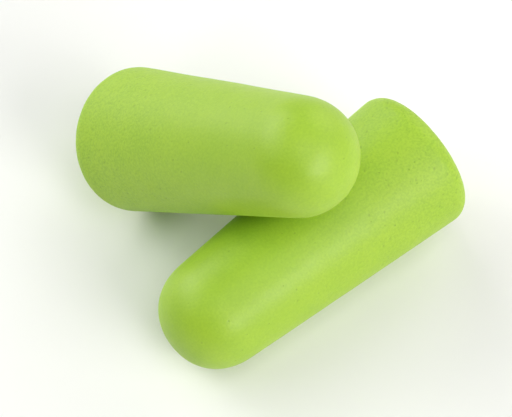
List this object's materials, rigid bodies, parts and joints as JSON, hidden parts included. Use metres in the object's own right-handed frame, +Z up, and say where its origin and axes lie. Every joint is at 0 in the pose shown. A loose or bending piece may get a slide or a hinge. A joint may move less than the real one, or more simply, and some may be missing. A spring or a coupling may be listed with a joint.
{
  "type": "foam ear plugs",
  "caption": "Pair of tapered soft foam ear plugs with flat wide ends and round noses, one lying on its side and the other leaning across it.",
  "frame": {"origin": "middle of the pair's bounding box, on the table that both plugs stand on (z = 0)", "axes": "+Z up from the table; the lying plug's axis runs along X, its nose towards -X and its flat wide end towards +X; the leaning plug's flat wide end is towards +Y and its nose is up over the lying plug"},
  "size_m": [0.0262, 0.0264, 0.0224],
  "materials": {
    "foam": "matte, lime green slow-recovery polyurethane foam with a fine moulded skin"
  },
  "bodies": {
    "lying_plug": {"lying_plug": "foam"},
    "leaning_plug": {"leaning_plug": "foam"}
  },
  "joints": [
    {"name": "lift_off", "type": "slide", "parent": "lying_plug", "child": "leaning_plug", "axis": [0, 0, 1], "range_m": [0, 0.03]}
  ]
}
